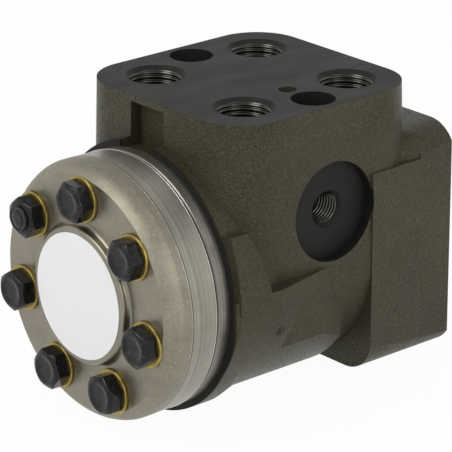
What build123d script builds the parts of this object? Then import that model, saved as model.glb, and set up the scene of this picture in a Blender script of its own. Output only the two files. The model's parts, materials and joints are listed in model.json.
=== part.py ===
"""Orbital steering unit: rotary valve, gerotor metering set and cast housing.

The origin is on the spool axis in the column flange face. The spool axis is Y, the gear end
points to -Y and the four main ports face +Z. Lengths are in millimetres.
"""
from build123d import *
import os
from math import atan2, cos, degrees, hypot, pi, radians, sin, tan

os.makedirs("parts", exist_ok=True)

# ---------------------------------------------------------------- axial stack
housing_length = 105.5
plate_thickness = 5.4
ring_thickness = 10.4
cover_thickness = 9.7
boss_height = 2.8
label_thickness = 0.2

gear_face_y = -housing_length
plate_face_y = gear_face_y - plate_thickness
ring_face_y = plate_face_y - ring_thickness
cover_face_y = ring_face_y - cover_thickness
boss_face_y = cover_face_y - boss_height

# ---------------------------------------------------------------- housing, outside
flange_size = 84.0
flange_side_growth = 2.0
flange_depth = 39.5
flange_corner = 13.0
flange_head_depth = 16.0
flange_head_z = 33.0

block_width = 84.0
block_gear_gap = 5.2
block_flange_gap = 14.9
block_corner = 17.5
block_draft = 1.6
port_face_z = 61.2
block_foot_z = 4.5

barrel_r = 43.6
collar_r = 47.8
collar_length = 8.0
collar_slope_length = 16.0
bulge_half_width = 49.3
bulge_half_height = 44.0
bulge_front_length = 20.0
bulge_edge_length = 2.5
bulge_back_y = -52.0
flare_half_width = 49.7
flare_half_height = 57.0
flare_height = 26.0
flare_foot_length = 15.4
flare_head_length = 9.0
flare_edge_length = 1.5
side_pad_r = 16.0
side_pad_x = 44.4
side_pad_y = -65.7
side_pad_z = -18.0
centre_mark_y = -85.0
centre_mark_z = -11.6
centre_mark_r = 2.6
pocket_width = 17.5
pocket_centre_x = -3.0
pocket_depth = 4.0
pocket_top_gap = 2.3
pocket_floor_z = 43.0

# ---------------------------------------------------------------- ports
port_centre_shift = 0.9
port_pitch = 46.6
port_minor_r = 9.315
port_mouth_r = 10.75
port_depth = 15.0
port_depth_step = 0.3
port_passage_r = 4.0
port_passage_shift = 3.6
load_port_z = 23.6
load_port_face_x = 39.3
load_port_spot_r = 17.6
load_port_minor_r = 5.72
load_port_mouth_r = 6.8
load_port_depth = 12.0
shock_bore_x = 31.9
shock_bore_r = 7.7
shock_bore_depth = 16.2
shock_well_r = 6.5
shock_well_depth = 24.2
shock_seat_hole_r = 2.4
pilot_hole_x = 18.8
pilot_hole_r = 3.2
pilot_hole_depth = 8.0
gallery_r = 2.0
gallery_z = 34.0
tank_gallery_r = 2.3
tank_drop_r = 2.7
gallery_overrun = 0.6

# ---------------------------------------------------------------- column flange
flange_bolt_circle = 82.5
flange_bolt_minor_r = 4.25
flange_bolt_depth = 16.0
dust_seal_r = 18.0
dust_seal_width = 4.8
dust_seal_inset = 1.2
web_thickness = 3.0

# ---------------------------------------------------------------- rotary valve
running_gap = 0.03
bore_r = 19.0
sleeve_inner_r = 14.03
spool_inset = 1.0
spool_bore_r = 11.25
neck_gap = 0.04
neck_relief = 0.4
seal_width = 5.6
race_thickness = 2.0
roller_r = 1.25
roller_length = 3.2
roller_count = 12
roller_gap = 0.02
cage_thickness = 1.7
end_gap = 0.05
groove_r = 22.5
groove_width = 6.0
groove_stations = (-41.0, -57.0, -73.0, -84.0)
commutator_y = -92.0
commutator_hole_r = 1.8
radial_hole_start = 1.0
duct_r = 2.3
duct_overrun = 0.8
commutator_circle_r = 25.5
sleeve_hole_r = 2.0
spool_slots = 12
spool_slot_width = 2.4
spool_slot_depth = 0.8
spool_bore_y = -30.0
spline_teeth = 12
spline_minor_r = 8.75
spline_major_r = 10.3
spline_length = 15.0
spline_pilot_r = 10.6
spline_pilot_length = 6.0
spline_root_width = 2.9
spline_tip_width = 1.9

spring_y = -26.0
spring_width = 4.8
spring_leaf = 0.5
spring_leaves = 6
spring_leaf_gap = 0.02
spring_gap = 0.1
spring_ring_width = 7.0
spring_ring_wall = 1.5

pin_y = -48.0
pin_r = 4.0
pin_slack_angle = 8.6

# ---------------------------------------------------------------- gear set
wheel_teeth = 6
ring_lobes = 7
eccentricity = 3.2
screw_circle_r = 34.15
lobe_circle_r = 34.15
arcs_per_tooth = 8
lobe_r = 6.85
lobe_gap = 0.06
side_gap = 0.02
pocket_gap = 0.1
ring_r = 45.6
plate_r = 45.4
plate_edge = 1.2
cover_r = 45.7
cover_flat_r = 41.7
cover_rim_width = 3.7
cover_bulge_r = 9.0
boss_r = 24.4
boss_round = 1.0
boss_foot = 1.4
label_r = 22.2
plate_bore_r = 14.3
kidney_r = 28.0
kidney_length = 8.0
kidney_width = 4.4
wheel_spline_teeth = 12
wheel_spline_minor_r = 9.1
wheel_spline_major_r = 11.1
wheel_space_root = 3.0
wheel_space_tip = 2.2
head_flank_gap = 0.4
fork_root = 4.0
head_gap = 0.45
head_length = 7.6
head_inset = 0.8
shank_r = 7.0
fork_r = 9.6
fork_reach = 7.0
fork_gap = 0.15
spacer_r = 8.8
spacer_thickness = 1.4

# ---------------------------------------------------------------- seals and screws
seal_ring_r = 41.4
seal_ring_width = 2.2
seal_ring_depth = 1.2
seal_ring_gap = 0.03
seal_ring_edge = 0.35
screw_r = 4.0
screw_hole_r = 4.3
screw_thread_r = 3.5
screw_thread_gap = 0.02
screw_reach = 14.5
screw_hole_extra = 2.0
screw_across_flats = 13.0
screw_head_height = 5.3
screw_head_flat_r = 6.2
screw_head_slope = 30.0
washer_r = 8.15
washer_thickness = 1.2
check_head_step_r = 4.6
check_head_step = 1.0
check_screw_angle = 90 + 360 / ring_lobes
bushing_r = 5.5
bushing_length = 15.2
check_ball_r = 4.25
check_seat_r = 2.8
check_travel = 1.6
check_pin_r = 1.5
suction_hole_r = 4.6
suction_depth = 22.0
suction_ball_r = 4.0
suction_seat_r = 2.4
suction_travel = 1.5
suction_pin_r = 1.9
suction_angles = (90 - 180 / ring_lobes, 90 + 180 / ring_lobes)
seat_hole_depth = 7.0

# ---------------------------------------------------------------- shock valves
shock_seat_height = 4.0
shock_ball_r = 3.5
shock_travel = 1.0
shock_ball_gap = 0.05
shock_spring_r = 3.0
shock_wire_r = 0.5
shock_spring_turns = 3
shock_wire_facets = 6
shock_plug_height = 6.0
shock_plug_inset = 5.0
shock_plug_key = 6.0
shock_plug_key_depth = 4.0

screw_angles = [90 + 360 / ring_lobes * n for n in range(ring_lobes)]
plain_screw_angles = [a for a in screw_angles if abs(a - check_screw_angle) > 1]
pocket_angles = [a + 180 / ring_lobes for a in screw_angles]


# ---------------------------------------------------------------- helpers
def across(y, x=0.0, z=0.0):
    """Plane across the spool axis at y, facing the gear end, with local Y along +Z."""
    return Plane(origin=(x, y, z), x_dir=(1, 0, 0), z_dir=(0, -1, 0))


def on_circle(radius, angles):
    """Points on a circle of the across planes, at the given angles in degrees."""
    return [(radius * cos(radians(a)), radius * sin(radians(a))) for a in angles]


def outline(points, plane=Plane.XY):
    """Straight-sided face through the given points of a plane."""
    with BuildSketch(plane) as face:
        with BuildLine():
            Polyline(*points, close=True)
        make_face()
    return face.sketch


def ring_solid(inner, outer, y, thickness):
    """Flat ring on the spool axis that starts at y and grows towards the gear end."""
    with BuildPart() as ring:
        with BuildSketch(across(y)):
            Circle(outer)
            Circle(inner, mode=Mode.SUBTRACT)
        extrude(amount=thickness)
    return ring.part


def spline_tooth(root_r, tip_r, root_width, tip_width):
    """Straight-sided tooth that starts inside root_r and ends at tip_r, along local X."""
    return outline([
        (root_r - 1.0, -root_width / 2),
        (root_r, -root_width / 2),
        (tip_r, -tip_width / 2),
        (tip_r, tip_width / 2),
        (root_r, root_width / 2),
        (root_r - 1.0, root_width / 2),
    ])


def save(solid, name):
    """Label a finished piece and write it."""
    solid.label = name
    export_step(solid, f"parts/{name}.step")


# ---------------------------------------------------------------- housing
bore_end_y = -(dust_seal_inset + dust_seal_width + web_thickness)
neck_r = sleeve_inner_r - running_gap
plane_half = 2 * flange_size
block_length = housing_length - block_gear_gap - block_flange_gap
block_centre_y = -block_flange_gap - block_length / 2
port_centre_y = block_centre_y + port_centre_shift
barrel_front_y = gear_face_y + collar_length + collar_slope_length

# cast bulges beside the barrel: an elliptic log cut to its plan outline
with BuildPart() as bulges:
    with BuildSketch(across(0)):
        Ellipse(bulge_half_width, bulge_half_height)
    extrude(amount=housing_length)
    extrude(
        outline([
            (-block_width / 2, bulge_back_y),
            (block_width / 2, bulge_back_y),
            (bulge_half_width, gear_face_y + bulge_front_length),
            (bulge_half_width, gear_face_y + bulge_edge_length),
            (collar_r, gear_face_y),
            (-collar_r, gear_face_y),
            (-bulge_half_width, gear_face_y + bulge_edge_length),
            (-bulge_half_width, gear_face_y + bulge_front_length),
        ], Plane.XY.offset(-bulge_half_height)),
        amount=block_foot_z + bulge_half_height,
        mode=Mode.INTERSECT,
    )

# flares that carry the barrel's end up into the port block's sides
with BuildPart() as flares:
    with BuildSketch(across(0)):
        Ellipse(flare_half_width, flare_half_height)
    extrude(amount=housing_length)
    extrude(
        outline([
            (gear_face_y + flare_edge_length, 0),
            (gear_face_y + flare_foot_length, 0),
            (gear_face_y + flare_foot_length, block_foot_z),
            (gear_face_y + flare_head_length, flare_height),
            (gear_face_y + flare_edge_length, flare_height),
        ], Plane.YZ.offset(-plane_half)),
        amount=2 * plane_half,
        mode=Mode.INTERSECT,
    )

with BuildPart() as housing:
    # column flange: a rounded square whose sides spread a little towards the barrel
    with BuildSketch(across(0)):
        RectangleRounded(flange_size + 2 * flange_side_growth, flange_size, flange_corner)
    extrude(amount=flange_depth)
    extrude(
        outline([
            (-flange_size / 2, 0),
            (flange_size / 2, 0),
            (flange_size / 2 + flange_side_growth, -flange_depth),
            (-flange_size / 2 - flange_side_growth, -flange_depth),
        ], Plane.XY.offset(-plane_half)),
        amount=2 * plane_half,
        mode=Mode.INTERSECT,
    )
    with BuildSketch(across(-flange_head_depth, z=flange_head_z)):
        Rectangle(2 * flange_size, flange_size, align=(Align.CENTER, Align.MIN))
    extrude(amount=flange_depth, mode=Mode.SUBTRACT)

    # barrel with its collar at the gear end
    revolve(
        outline([
            (0, -flange_head_depth),
            (barrel_r, -flange_head_depth),
            (barrel_r, barrel_front_y),
            (collar_r, gear_face_y + collar_length),
            (collar_r, gear_face_y),
            (0, gear_face_y),
        ]),
        axis=Axis.Y,
    )

    # port block with drafted sides
    with BuildSketch(Plane.XY.offset(port_face_z)):
        with Locations((0, block_centre_y)):
            RectangleRounded(block_width, block_length, block_corner)
    extrude(amount=-(port_face_z - block_foot_z), taper=-block_draft)
    add(bulges.part)
    add(flares.part)

    # round flats cast on both sides of the barrel, below the port block
    for side in (-1, 1):
        pad_plane = Plane(
            origin=(side * side_pad_x, side_pad_y, side_pad_z),
            x_dir=(0, 1, 0),
            z_dir=(side, 0, 0),
        )
        with BuildSketch(pad_plane):
            Circle(side_pad_r)
        extrude(amount=flange_size, mode=Mode.SUBTRACT)

    # fixture centre mark on the side port's side
    with Locations((bulge_half_width, centre_mark_y, centre_mark_z)):
        Sphere(centre_mark_r, mode=Mode.SUBTRACT)

    # pocket in the block's gear end
    with BuildSketch(across(block_centre_y - block_length / 2 + pocket_depth)):
        with Locations((pocket_centre_x, pocket_floor_z)):
            Rectangle(
                pocket_width,
                port_face_z - pocket_top_gap - pocket_floor_z,
                align=(Align.CENTER, Align.MIN),
            )
    extrude(amount=flange_size, mode=Mode.SUBTRACT)

    # spool bore, seal pockets and the annular grooves of the valve
    with BuildSketch(across(bore_end_y)):
        Circle(bore_r)
    extrude(amount=housing_length + bore_end_y, mode=Mode.SUBTRACT)
    with BuildSketch(across(0)):
        Circle(dust_seal_r)
    extrude(amount=dust_seal_inset + dust_seal_width, mode=Mode.SUBTRACT)
    with BuildSketch(across(0)):
        Circle(neck_r + neck_relief)
    extrude(amount=-bore_end_y, mode=Mode.SUBTRACT)
    for station in groove_stations:
        with BuildSketch(across(station + groove_width / 2)):
            Circle(groove_r)
        extrude(amount=groove_width, mode=Mode.SUBTRACT)

    # four main ports, drilled to slightly stepped depths, with their passages to the grooves
    port_x = port_pitch / 2
    gear_row_y = port_centre_y - port_pitch / 2
    for steps, point in enumerate((
        (port_x, gear_row_y + port_pitch),
        (-port_x, gear_row_y + port_pitch),
        (port_x, gear_row_y),
        (-port_x, gear_row_y),
    )):
        with Locations(Plane.XY.offset(port_face_z)):
            with Locations(point):
                CounterSinkHole(port_minor_r, port_mouth_r,
                                port_depth + steps * port_depth_step, 90)
    passage_x = port_x - port_passage_shift
    column_row_y = gear_row_y + port_pitch - port_passage_shift
    for x, y, foot_z in (
        (passage_x, column_row_y, block_foot_z),
        (-passage_x, column_row_y, gallery_z - tank_gallery_r - gallery_overrun),
        (passage_x, gear_row_y + port_passage_shift, block_foot_z),
        (-passage_x, gear_row_y - port_passage_shift, block_foot_z),
    ):
        with BuildSketch(Plane.XY.offset(port_face_z - port_depth)):
            with Locations((x, y)):
                Circle(port_passage_r)
        extrude(amount=-(port_face_z - port_depth - foot_z), mode=Mode.SUBTRACT)

    # two shock valve bores, their seat holes and the gallery to the tank groove
    with Locations(Plane.XY.offset(port_face_z)):
        with Locations((-shock_bore_x, port_centre_y), (shock_bore_x, port_centre_y)):
            Hole(shock_bore_r, shock_bore_depth)
            Hole(shock_well_r, shock_well_depth)
            Hole(shock_seat_hole_r, port_face_z - gallery_z + gallery_r + gallery_overrun)
        with Locations((pilot_hole_x, port_centre_y)):
            Hole(pilot_hole_r, pilot_hole_depth)
    with BuildSketch(Plane.YZ.offset(-shock_bore_x)):
        with Locations((port_centre_y, gallery_z)):
            Circle(gallery_r)
    extrude(amount=2 * shock_bore_x, mode=Mode.SUBTRACT)
    with BuildSketch(across(column_row_y)):
        with Locations((-passage_x, gallery_z)):
            Circle(tank_gallery_r)
    extrude(amount=column_row_y - port_centre_y + gallery_overrun, mode=Mode.SUBTRACT)
    with BuildSketch(Plane.XY.offset(gallery_z + gallery_overrun)):
        with Locations((0, groove_stations[1])):
            Circle(tank_drop_r)
    extrude(amount=-(gallery_z + gallery_overrun - bore_r), mode=Mode.SUBTRACT)

    # side port in its round spotface
    load_port_plane = Plane(
        origin=(load_port_face_x, port_centre_y, load_port_z),
        x_dir=(0, 1, 0),
        z_dir=(1, 0, 0),
    )
    with BuildSketch(load_port_plane):
        Circle(load_port_spot_r)
    extrude(amount=flange_size, mode=Mode.SUBTRACT)
    with Locations(load_port_plane):
        CounterSinkHole(load_port_minor_r, load_port_mouth_r, load_port_depth, 90)

    # column screws, gear end screws and the hole of the check valve
    with Locations(Plane(origin=(0, 0, 0), x_dir=(-1, 0, 0), z_dir=(0, 1, 0))):
        with PolarLocations(flange_bolt_circle / 2, 4, 45):
            Hole(flange_bolt_minor_r, flange_bolt_depth)
    gear_face = across(gear_face_y)
    for points, radius, depth in (
        (on_circle(screw_circle_r, plain_screw_angles), screw_thread_r + screw_thread_gap,
         screw_reach + screw_hole_extra),
        (on_circle(screw_circle_r, [check_screw_angle]), bushing_r,
         bushing_length + 2 * check_ball_r + check_travel),
        (on_circle(screw_circle_r, [check_screw_angle]), check_seat_r,
         bushing_length + 2 * check_ball_r + check_travel + seat_hole_depth),
        (on_circle(screw_circle_r, suction_angles), suction_hole_r, suction_depth),
        (on_circle(screw_circle_r, suction_angles), suction_seat_r,
         suction_depth + seat_hole_depth),
        (on_circle(commutator_circle_r, pocket_angles), duct_r,
         commutator_y - gear_face_y + commutator_hole_r + duct_overrun),
    ):
        with BuildSketch(gear_face):
            with Locations(*points):
                Circle(radius)
        extrude(amount=-depth, mode=Mode.SUBTRACT)

    # commutator holes from the axial ducts into the bore
    for x, z in on_circle(1.0, pocket_angles):
        duct_plane = Plane(origin=(0, commutator_y, 0), z_dir=(x, 0, z))
        with BuildSketch(duct_plane.offset(bore_r - radial_hole_start)):
            Circle(commutator_hole_r)
        extrude(amount=commutator_circle_r - bore_r + radial_hole_start, mode=Mode.SUBTRACT)
save(housing.part, "housing")


# ---------------------------------------------------------------- column end seals and bearing
seal_y = bore_end_y
outer_race_y = seal_y - seal_width - end_gap
roller_y = outer_race_y - race_thickness - roller_gap - roller_r
inner_race_y = roller_y - roller_r - roller_gap
sleeve_y = inner_race_y - race_thickness - end_gap
race_r = bore_r - running_gap

save(ring_solid(neck_r + neck_gap, dust_seal_r, -dust_seal_inset, dust_seal_width), "dust_seal")
save(ring_solid(neck_r + neck_gap, bore_r, seal_y, seal_width), "shaft_seal")
save(ring_solid(neck_r + running_gap, bore_r, outer_race_y, race_thickness),
     "bearing_outer_race")
save(ring_solid(neck_r, race_r, inner_race_y, race_thickness), "bearing_inner_race")

roller_centre_r = (neck_r + race_r) / 2
cage_angles = [360 / roller_count * n for n in range(roller_count)]
with BuildPart() as bearing_cage:
    add(ring_solid(neck_r + end_gap, race_r - end_gap, roller_y + cage_thickness / 2,
                   cage_thickness))
    with BuildSketch(across(roller_y + cage_thickness)):
        with PolarLocations(roller_centre_r, roller_count):
            Rectangle(roller_length + 2 * end_gap, 2 * roller_r + 2 * end_gap)
    extrude(amount=2 * cage_thickness, mode=Mode.SUBTRACT)
save(bearing_cage.part, "bearing_cage")

with BuildPart() as bearing_rollers:
    for x, z in on_circle(1.0, cage_angles):
        with BuildSketch(Plane(origin=(0, roller_y, 0), z_dir=(x, 0, z)).offset(
                roller_centre_r - roller_length / 2)):
            Circle(roller_r)
        extrude(amount=roller_length)
save(bearing_rollers.part, "bearing_rollers")


# ---------------------------------------------------------------- sleeve, spool and cross pin
valve_end_y = gear_face_y + 2 * end_gap
sleeve_outer_r = race_r
spring_stack = spring_leaves * spring_leaf
spring_slot_width = spring_width + 2 * spring_gap
spring_slot_height = spring_stack + 2 * spring_gap
spring_ring_inner_r = sleeve_outer_r - spring_ring_wall


def bar(plane, width, height, length):
    """Square-ended bar through the spool axis, centred on the plane's origin."""
    with BuildPart() as solid:
        with BuildSketch(plane):
            Rectangle(width, height)
        extrude(amount=length / 2, both=True)
    return solid.part


spring_plane = Plane(origin=(0, spring_y, 0), x_dir=(0, 1, 0), z_dir=(0, 0, 1))
pin_plane = Plane(origin=(0, pin_y, 0), x_dir=(0, 1, 0), z_dir=(1, 0, 0))
row_angles = [60 * n for n in range(6)]

with BuildPart() as sleeve:
    with BuildSketch(across(sleeve_y)):
        Circle(sleeve_outer_r)
    extrude(amount=sleeve_y - valve_end_y)
    add(ring_solid(spring_ring_inner_r, bore_r + 1, spring_y + spring_ring_width / 2,
                   spring_ring_width), mode=Mode.SUBTRACT)
    with BuildSketch(across(0)):
        Circle(sleeve_inner_r)
    extrude(amount=housing_length, mode=Mode.SUBTRACT)
    with BuildSketch(pin_plane):
        Circle(pin_r + running_gap)
    extrude(amount=2 * bore_r, both=True, mode=Mode.SUBTRACT)
    add(bar(spring_plane, spring_slot_width, spring_slot_height, 4 * bore_r),
        mode=Mode.SUBTRACT)
    for station, angles in (
        (groove_stations[1], row_angles),
        (groove_stations[2], row_angles),
        (commutator_y, [angle / 2 + 15 for angle in range(0, 720, 60)]),
    ):
        for x, z in on_circle(1.0, angles):
            with BuildSketch(Plane(origin=(0, station, 0), z_dir=(x, 0, z)).offset(neck_r - 2)):
                Circle(sleeve_hole_r)
            extrude(amount=bore_r, mode=Mode.SUBTRACT)
save(sleeve.part, "sleeve")

save(ring_solid(spring_ring_inner_r + running_gap, sleeve_outer_r,
                spring_y + spring_ring_width / 2 - end_gap, spring_ring_width - 2 * end_gap),
     "spring_ring")

with BuildPart() as spool:
    with BuildSketch(across(-spool_inset)):
        Circle(neck_r)
    extrude(amount=-valve_end_y - spool_inset)
    # plain lead-in, column spline and the relief behind it
    spline_y = -spool_inset - spline_pilot_length
    with BuildSketch(across(-spool_inset)):
        Circle(spline_pilot_r)
    extrude(amount=spline_pilot_length, mode=Mode.SUBTRACT)
    with BuildSketch(across(spline_y)):
        Circle(spline_minor_r)
        with PolarLocations(0, spline_teeth):
            add(spline_tooth(spline_minor_r, spline_major_r, spline_root_width,
                             spline_tip_width))
    extrude(amount=spline_length, mode=Mode.SUBTRACT)
    with BuildSketch(across(spline_y - spline_length)):
        Circle(spline_major_r)
    extrude(amount=spline_y - spline_length - spool_bore_y, mode=Mode.SUBTRACT)
    with BuildSketch(across(spool_bore_y)):
        Circle(spool_bore_r)
    extrude(amount=housing_length, mode=Mode.SUBTRACT)
    with BuildSketch(pin_plane):
        Circle(pin_r + neck_r * sin(radians(pin_slack_angle)))
    extrude(amount=2 * bore_r, both=True, mode=Mode.SUBTRACT)
    add(bar(spring_plane, spring_slot_width, spring_slot_height, 4 * bore_r),
        mode=Mode.SUBTRACT)
    # metering slots along the outside
    slot_length = groove_stations[1] - commutator_y
    with BuildSketch(across(groove_stations[1])):
        with PolarLocations(neck_r, spool_slots, 360 / spool_slots / 2):
            Rectangle(2 * spool_slot_depth, spool_slot_width)
    extrude(amount=slot_length, mode=Mode.SUBTRACT)
save(spool.part, "spool")

with BuildPart() as cross_pin:
    with BuildSketch(pin_plane):
        Circle(pin_r)
    extrude(amount=(sleeve_outer_r**2 - pin_r**2) ** 0.5 - end_gap, both=True)
save(cross_pin.part, "cross_pin")

with BuildPart() as centring_springs:
    for leaf in range(spring_leaves):
        offset_x = (leaf - (spring_leaves - 1) / 2) * spring_leaf
        with BuildSketch(across(spring_y)):
            with Locations((offset_x, 0)):
                Rectangle(spring_leaf - spring_leaf_gap, 2 * (spring_ring_inner_r - end_gap))
        extrude(amount=spring_width / 2, both=True)
save(centring_springs.part, "centring_springs")


# ---------------------------------------------------------------- plate, gear set and cover
def seal_groove(y, direction):
    """Ring groove of an O-ring, cut from the face at y in the given direction."""
    return ring_solid(
        seal_ring_r - seal_ring_width / 2,
        seal_ring_r + seal_ring_width / 2,
        y if direction > 0 else y + seal_ring_depth,
        seal_ring_depth,
    )


def seal_ring(y, direction):
    """O-ring squeezed into its groove between two flat faces."""
    centre_y = y - direction * seal_ring_depth / 2
    half_width = seal_ring_width / 2 - seal_ring_gap
    half_depth = (seal_ring_depth - seal_ring_gap) / 2
    waist = half_width - seal_ring_edge
    shoulder = half_depth - seal_ring_edge
    return revolve(
        outline([
            (seal_ring_r + across_r, centre_y + along_y)
            for across_r, along_y in (
                (waist, half_depth),
                (half_width, shoulder),
                (half_width, -shoulder),
                (waist, -half_depth),
                (-waist, -half_depth),
                (-half_width, -shoulder),
                (-half_width, shoulder),
                (-waist, half_depth),
            )
        ]),
        axis=Axis.Y,
    )


screw_points = on_circle(screw_circle_r, screw_angles)

with BuildPart() as distribution_plate:
    with BuildSketch(gear_face):
        Circle(plate_r)
        Circle(plate_bore_r, mode=Mode.SUBTRACT)
        with Locations(*screw_points):
            Circle(screw_hole_r, mode=Mode.SUBTRACT)
        with PolarLocations(kidney_r, ring_lobes, 90 + 180 / ring_lobes):
            SlotOverall(kidney_length, kidney_width, mode=Mode.SUBTRACT)
    extrude(amount=plate_thickness)
    rim = distribution_plate.edges().filter_by(GeomType.CIRCLE).group_by(SortBy.RADIUS)[-1]
    chamfer(rim.sort_by(Axis.Y)[0], plate_edge)
    add(seal_groove(gear_face_y, 1), mode=Mode.SUBTRACT)
    add(seal_groove(plate_face_y, -1), mode=Mode.SUBTRACT)
save(distribution_plate.part, "distribution_plate")
save(seal_ring(gear_face_y, 1), "plate_seal")
save(seal_ring(plate_face_y, -1), "ring_seal")
save(seal_ring(ring_face_y, 1), "cover_seal")

with BuildPart() as gear_ring:
    with BuildSketch(across(plate_face_y)):
        Circle(ring_r)
        Circle(lobe_circle_r + eccentricity - lobe_r + eccentricity + pocket_gap,
               mode=Mode.SUBTRACT)
        with Locations(*on_circle(lobe_circle_r, screw_angles)):
            Circle(lobe_r)
        with Locations(*screw_points):
            Circle(screw_hole_r, mode=Mode.SUBTRACT)
    extrude(amount=ring_thickness)
save(gear_ring.part, "gear_ring")


def wheel_point(angle):
    """Point of the wheel: inside the path of a lobe centre by the lobe's radius."""
    path_x = lobe_circle_r * cos(angle) - eccentricity * cos(ring_lobes * angle)
    path_z = lobe_circle_r * sin(angle) - eccentricity * sin(ring_lobes * angle)
    along_x = -lobe_circle_r * sin(angle) + ring_lobes * eccentricity * sin(ring_lobes * angle)
    along_z = lobe_circle_r * cos(angle) - ring_lobes * eccentricity * cos(ring_lobes * angle)
    shift = (lobe_r + lobe_gap) / hypot(along_x, along_z)
    return (path_x - shift * along_z, path_z + shift * along_x)


wheel_arcs = wheel_teeth * arcs_per_tooth
wheel_plane = across(plate_face_y - side_gap, z=-eccentricity)
wheel_thickness = ring_thickness - 2 * side_gap
with BuildPart() as gear_wheel:
    with BuildSketch(wheel_plane):
        with BuildLine():
            for n in range(wheel_arcs):
                ThreePointArc(*(wheel_point(2 * pi * (n + t) / wheel_arcs) for t in (0, 0.5, 1)))
        make_face()
        Circle(wheel_spline_minor_r, mode=Mode.SUBTRACT)
        with PolarLocations(0, wheel_spline_teeth):
            add(spline_tooth(wheel_spline_minor_r, wheel_spline_major_r, wheel_space_root,
                             wheel_space_tip), mode=Mode.SUBTRACT)
    extrude(amount=wheel_thickness)
save(gear_wheel.part, "gear_wheel")

with BuildPart() as spacer:
    with BuildSketch(across(ring_face_y + side_gap + spacer_thickness, z=-eccentricity)):
        Circle(spacer_r)
    extrude(amount=spacer_thickness)
save(spacer.part, "spacer")

# cardan shaft: leans from the cross pin to the wheel's centre
head_centre_y = plate_face_y - head_inset - head_length / 2
shaft_reach = hypot(pin_y - head_centre_y, eccentricity)
lean = atan2(eccentricity, pin_y - head_centre_y)
cardan_plane = Plane(
    origin=(0, pin_y, 0),
    x_dir=(1, 0, 0),
    z_dir=(0, -cos(lean), -sin(lean)),
)
head_start = shaft_reach - head_length / 2
head_tooth_r = wheel_spline_major_r - head_gap
with BuildPart() as cardan_shaft:
    with BuildSketch(cardan_plane.offset(-fork_reach)):
        Circle(fork_r)
    extrude(amount=2 * fork_reach + fork_root)
    with BuildSketch(cardan_plane):
        Circle(shank_r)
    extrude(amount=head_start)
    with BuildSketch(cardan_plane.offset(head_start)):
        Circle(wheel_spline_minor_r - head_gap)
        with PolarLocations(0, wheel_spline_teeth):
            add(spline_tooth(wheel_spline_minor_r - head_gap - 0.1, head_tooth_r,
                             wheel_space_root - 2 * head_flank_gap,
                             wheel_space_tip - 2 * head_flank_gap))
    extrude(amount=head_length)
    with BuildSketch(cardan_plane.offset(-2 * fork_reach)):
        Rectangle(4 * fork_r, 2 * (pin_r + fork_gap))
    extrude(amount=3 * fork_reach, mode=Mode.SUBTRACT)
save(cardan_shaft.part, "cardan_shaft")

with BuildPart() as end_cover:
    with BuildSketch(Plane.XY):
        with BuildLine():
            Polyline(
                (cover_r, ring_face_y - cover_rim_width),
                (cover_r, ring_face_y),
                (0, ring_face_y),
                (0, boss_face_y),
                (boss_r - boss_round, boss_face_y),
            )
            RadiusArc((boss_r - boss_round, boss_face_y), (boss_r, boss_face_y + boss_round),
                      -boss_round)
            Line((boss_r, boss_face_y + boss_round), (boss_r, cover_face_y - boss_foot))
            RadiusArc((boss_r, cover_face_y - boss_foot), (boss_r + boss_foot, cover_face_y),
                      boss_foot)
            Line((boss_r + boss_foot, cover_face_y), (cover_flat_r, cover_face_y))
            RadiusArc((cover_flat_r, cover_face_y), (cover_r, ring_face_y - cover_rim_width),
                      -cover_bulge_r)
        make_face()
    revolve(axis=Axis.Y)
    with BuildSketch(across(ring_face_y)):
        with Locations(*screw_points):
            Circle(screw_hole_r)
    extrude(amount=cover_thickness + boss_height, mode=Mode.SUBTRACT)
    add(seal_groove(ring_face_y, 1), mode=Mode.SUBTRACT)
save(end_cover.part, "end_cover")

with BuildPart() as rating_label:
    with BuildSketch(across(boss_face_y)):
        Circle(label_r)
    extrude(amount=label_thickness)
save(rating_label.part, "rating_label")


# ---------------------------------------------------------------- screws and washers
with BuildPart() as cover_washers:
    with BuildSketch(across(cover_face_y)):
        with Locations(*screw_points):
            Circle(washer_r)
            Circle(screw_hole_r, mode=Mode.SUBTRACT)
    extrude(amount=washer_thickness)
save(cover_washers.part, "cover_washers")

head_y = cover_face_y - washer_thickness


# hexagon head with its corners turned off, standing on the local XY plane
with BuildPart() as hexagon_head:
    with BuildSketch():
        RegularPolygon(screw_across_flats / 2, 6, major_radius=False)
    extrude(amount=screw_head_height)
    Cone(
        screw_head_flat_r + screw_head_height / tan(radians(screw_head_slope)),
        screw_head_flat_r,
        screw_head_height,
        align=(Align.CENTER, Align.CENTER, Align.MIN),
        mode=Mode.INTERSECT,
    )


def screws(angles, stepped):
    """Hexagon screws on the screw circle, with a round step on the head if asked."""
    points = on_circle(screw_circle_r, angles)
    with BuildPart() as group:
        with Locations(across(head_y)):
            with Locations(*points):
                add(hexagon_head.part)
        with BuildSketch(across(head_y)):
            with Locations(*points):
                Circle(screw_r)
        extrude(amount=-(gear_face_y - head_y))
        with BuildSketch(across(gear_face_y)):
            with Locations(*points):
                Circle(screw_thread_r)
        extrude(amount=-screw_reach)
        if stepped:
            with BuildSketch(across(head_y - screw_head_height)):
                with Locations(*points):
                    Circle(check_head_step_r)
            extrude(amount=check_head_step)
            with BuildSketch(across(gear_face_y + screw_reach)):
                with Locations(*points):
                    Circle(check_pin_r)
            extrude(amount=-(bushing_length - screw_reach))
    return group.part


save(screws(plain_screw_angles, stepped=False), "cover_screws")
save(screws([check_screw_angle], stepped=True), "check_screw")


# ---------------------------------------------------------------- check and suction valves
def ball(radius, x, y, z):
    """Ball with its centre at the given point."""
    with BuildPart() as solid:
        with Locations((x, y, z)):
            Sphere(radius)
    return solid.part


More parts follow.
